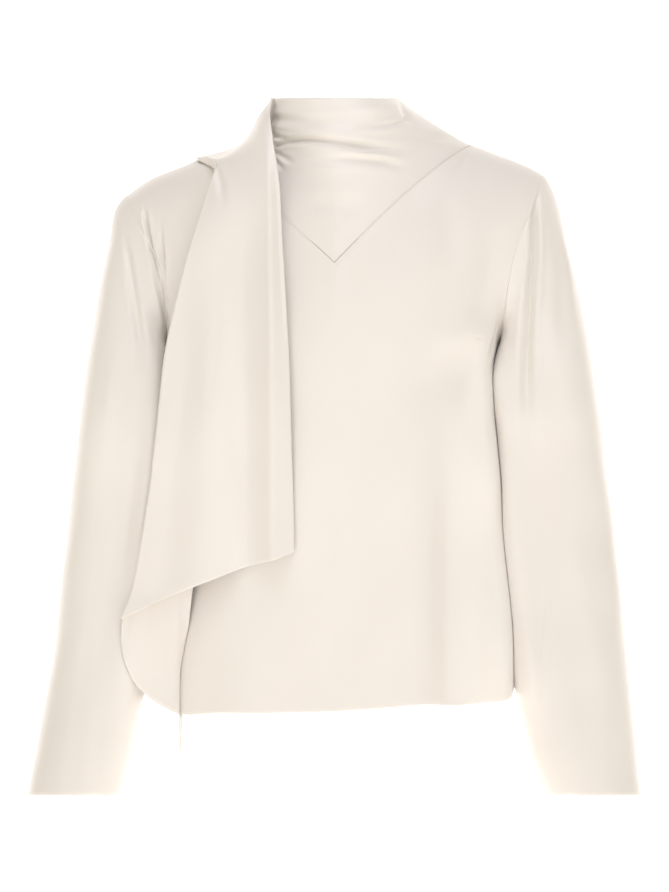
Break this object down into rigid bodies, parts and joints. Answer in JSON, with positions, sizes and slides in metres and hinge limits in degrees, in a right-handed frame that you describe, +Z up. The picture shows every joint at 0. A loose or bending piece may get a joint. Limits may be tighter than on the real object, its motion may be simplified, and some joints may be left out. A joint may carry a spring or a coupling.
{
  "type": "blouse",
  "caption": "Cropped long-sleeved satin blouse in its worn form, with a draped high neck set into a V and a scarf that goes round the collar and hangs down one side of the front.",
  "frame": {"origin": "midway between the wearer's shoulders, level with the tops of the shoulder seams at the neck, where the wearer holds the blouse up", "axes": "+Z up, -Y towards the front of the blouse, +X towards the wearer's left"},
  "size_m": [0.6025, 0.2572, 0.6883],
  "materials": {
    "satin": "smooth ivory satin with a soft sheen"
  },
  "bodies": {
    "root": {"front_panel": "satin", "back_panel": "satin", "sleeve_left": "satin", "sleeve_right": "satin", "neck_drape": "satin", "scarf_tail": "satin"}
  },
  "joints": []
}
